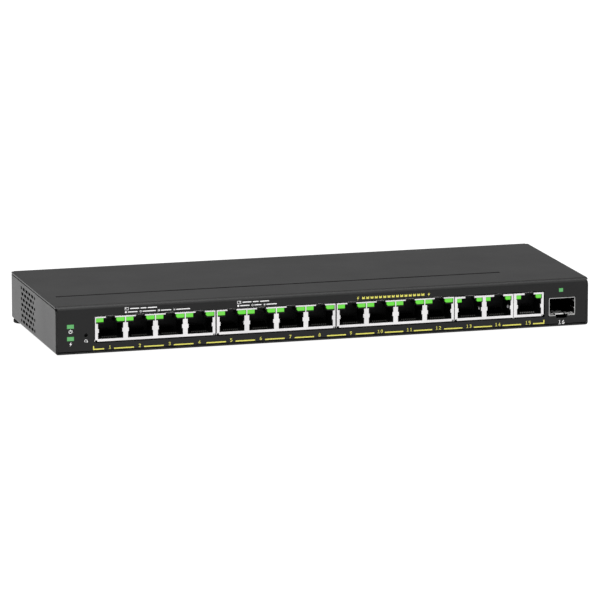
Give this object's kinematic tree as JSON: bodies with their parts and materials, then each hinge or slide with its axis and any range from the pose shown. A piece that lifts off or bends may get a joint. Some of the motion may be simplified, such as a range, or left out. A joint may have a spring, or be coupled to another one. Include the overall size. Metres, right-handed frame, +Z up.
{
  "type": "desktop network switch",
  "caption": "Low folded-metal desktop network switch with a row of shielded network sockets, lights and a module cage in front, vents in both sides.",
  "frame": {"origin": "centre of the footprint, on the surface that the feet stand on", "axes": "+X along the long side to the right seen from the front, +Y from the socket side to the rear, +Z up"},
  "size_m": [0.2866, 0.101, 0.0266],
  "materials": {
    "case_paint": "satin powder coat, dark charcoal",
    "foot_rubber": "matt",
    "screw_steel": "zinc plated",
    "screw_black": "black zinc",
    "insulator_film": "matt film",
    "board_green": "solder mask",
    "cage_metal": "nickel plated, satin",
    "shield_metal": "bright tin plate",
    "jack_plastic": "black, matt",
    "contact_gold": "gold plated",
    "port_light": "lit bright green",
    "status_light": "lit soft green",
    "lamp_chip": "ceramic chip",
    "plunger_plastic": "black",
    "chip_black": "moulded epoxy",
    "pad_grey": "soft gap pad",
    "heat_sink_alu": "extruded, anodised clear",
    "capacitor_sleeve": "black sleeve",
    "inductor_ferrite": "pressed ferrite",
    "transformer_tape": "yellow tape",
    "smd_ceramic": "ceramic"
  },
  "bodies": {
    "case": {"lower_tray": "case_paint", "upper_shell": "case_paint", "rubber_feet": "foot_rubber", "pcb_standoffs": "screw_steel", "insulator_sheet": "insulator_film", "main_board": "board_green", "board_screws": "screw_steel", "cover_screws": "screw_black", "sfp_cage": "cage_metal", "sfp_connector": "jack_plastic", "sfp_ground_fingers": "shield_metal", "power_light_pipe": "status_light", "poe_light_pipe": "status_light", "sfp_light_pipe": "status_light", "status_leds": "lamp_chip", "reset_switch": "jack_plastic", "dc_inlet": "jack_plastic", "dc_inlet_pin": "shield_metal", "switch_chip": "chip_black", "thermal_pad": "pad_grey", "switch_heat_sink": "heat_sink_alu", "poe_controllers": "chip_black", "magnetics": "chip_black", "bulk_capacitors": "capacitor_sleeve", "inductors": "inductor_ferrite", "power_transformer": "transformer_tape", "clock_crystal": "shield_metal", "smd_parts": "smd_ceramic", "jack_body_1_4": "jack_plastic", "jack_shield_1_4": "shield_metal", "jack_contacts_1_4": "contact_gold", "port_lights_1_4": "port_light", "jack_body_5_8": "jack_plastic", "jack_shield_5_8": "shield_metal", "jack_contacts_5_8": "contact_gold", "port_lights_5_8": "port_light", "jack_body_9_12": "jack_plastic", "jack_shield_9_12": "shield_metal", "jack_contacts_9_12": "contact_gold", "port_lights_9_12": "port_light", "jack_body_13_14": "jack_plastic", "jack_shield_13_14": "shield_metal", "jack_contacts_13_14": "contact_gold", "port_lights_13_14": "port_light", "jack_body_15": "jack_plastic", "jack_shield_15": "shield_metal", "jack_contacts_15": "contact_gold", "port_lights_15": "port_light"},
    "latch": {"sfp_latch": "cage_metal"},
    "plunger": {"reset_plunger": "plunger_plastic"}
  },
  "joints": [
    {"name": "reset_press", "type": "slide", "parent": "case", "child": "plunger", "axis": [0, 1, 0], "range_m": [0, 0.0005], "stiffness_N_per_m": 1000, "springref_m": -0.0003},
    {"name": "sfp_latch_flex", "type": "hinge", "parent": "case", "child": "latch", "pos_m": [0.12882, -0.039, 0.0074], "axis": [1, 0, 0], "range_deg": [0, 4], "stiffness_Nm_per_rad": 0.05, "springref_deg": -1.15}
  ]
}
